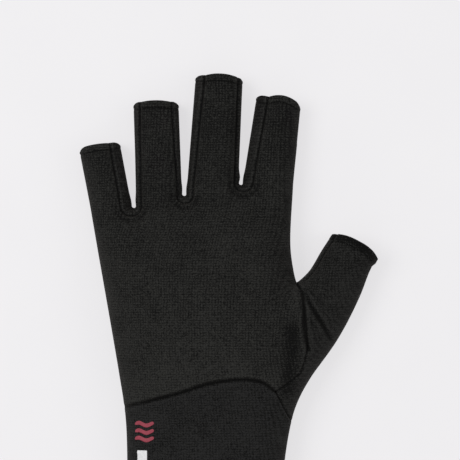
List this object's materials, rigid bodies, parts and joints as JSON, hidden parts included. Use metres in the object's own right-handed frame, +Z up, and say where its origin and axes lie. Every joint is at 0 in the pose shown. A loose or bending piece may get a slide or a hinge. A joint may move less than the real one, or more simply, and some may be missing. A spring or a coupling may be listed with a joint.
{
  "type": "fingerless heated glove",
  "caption": "Left-hand stretch-cloth glove with open finger and thumb ends, side strips between the fingers and a long cuff, lying on its palm.",
  "frame": {"origin": "under the middle of the glove's box, on the surface that the glove lies on", "axes": "+Y from the cuff to the fingers, +X to the thumb's side, +Z up through the back of the hand"},
  "size_m": [0.1496, 0.2382, 0.0279],
  "materials": {
    "back_cloth": "close-woven black stretch cloth, matt, with a fine weave",
    "palm_cloth": "close-woven black stretch cloth, matt, with a fine weave",
    "side_cloth": "close-woven black stretch cloth, matt, with a fine weave",
    "cuff_cloth": "close-woven black stretch cloth, matt, with a fine weave"
  },
  "bodies": {
    "root": {"back_panel": "back_cloth", "palm_panel": "palm_cloth", "fourchette_little_ring": "side_cloth", "fourchette_ring_middle": "side_cloth", "fourchette_middle_index": "side_cloth", "thumb_back": "back_cloth", "thumb_palm": "palm_cloth", "cuff_back": "cuff_cloth", "cuff_palm": "cuff_cloth"}
  },
  "joints": []
}
